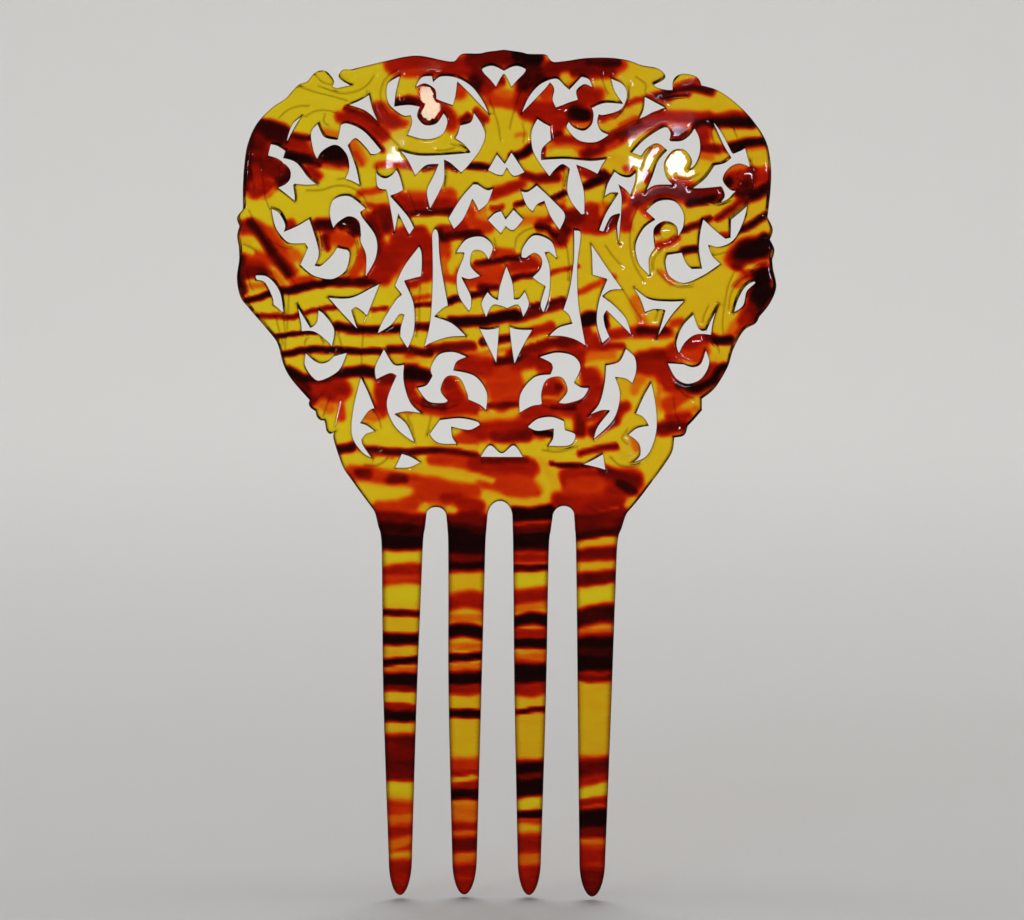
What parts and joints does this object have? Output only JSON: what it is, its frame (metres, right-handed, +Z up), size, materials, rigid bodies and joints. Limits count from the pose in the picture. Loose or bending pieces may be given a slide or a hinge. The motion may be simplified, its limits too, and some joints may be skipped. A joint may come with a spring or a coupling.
{
  "type": "ornamental hair comb",
  "caption": "Tall one-piece ornamental hair comb: a curved, pierced scrollwork crest on a root band with long tapered tines.",
  "frame": {"origin": "middle of the sheet on the comb's centre line, at the root of the middle gap between the tines", "axes": "+Z up from the tines to the crest, +X to the right as the hollow decorated face is looked at, +Y towards the back of the comb"},
  "size_m": [0.1251, 0.0628, 0.1936],
  "materials": {
    "tortoiseshell": "glossy, see-through, banded yellow, red and dark brown"
  },
  "bodies": {
    "root": {"crest": "tortoiseshell", "band": "tortoiseshell", "tine_1": "tortoiseshell", "tine_2": "tortoiseshell", "tine_3": "tortoiseshell", "tine_4": "tortoiseshell"}
  },
  "joints": []
}
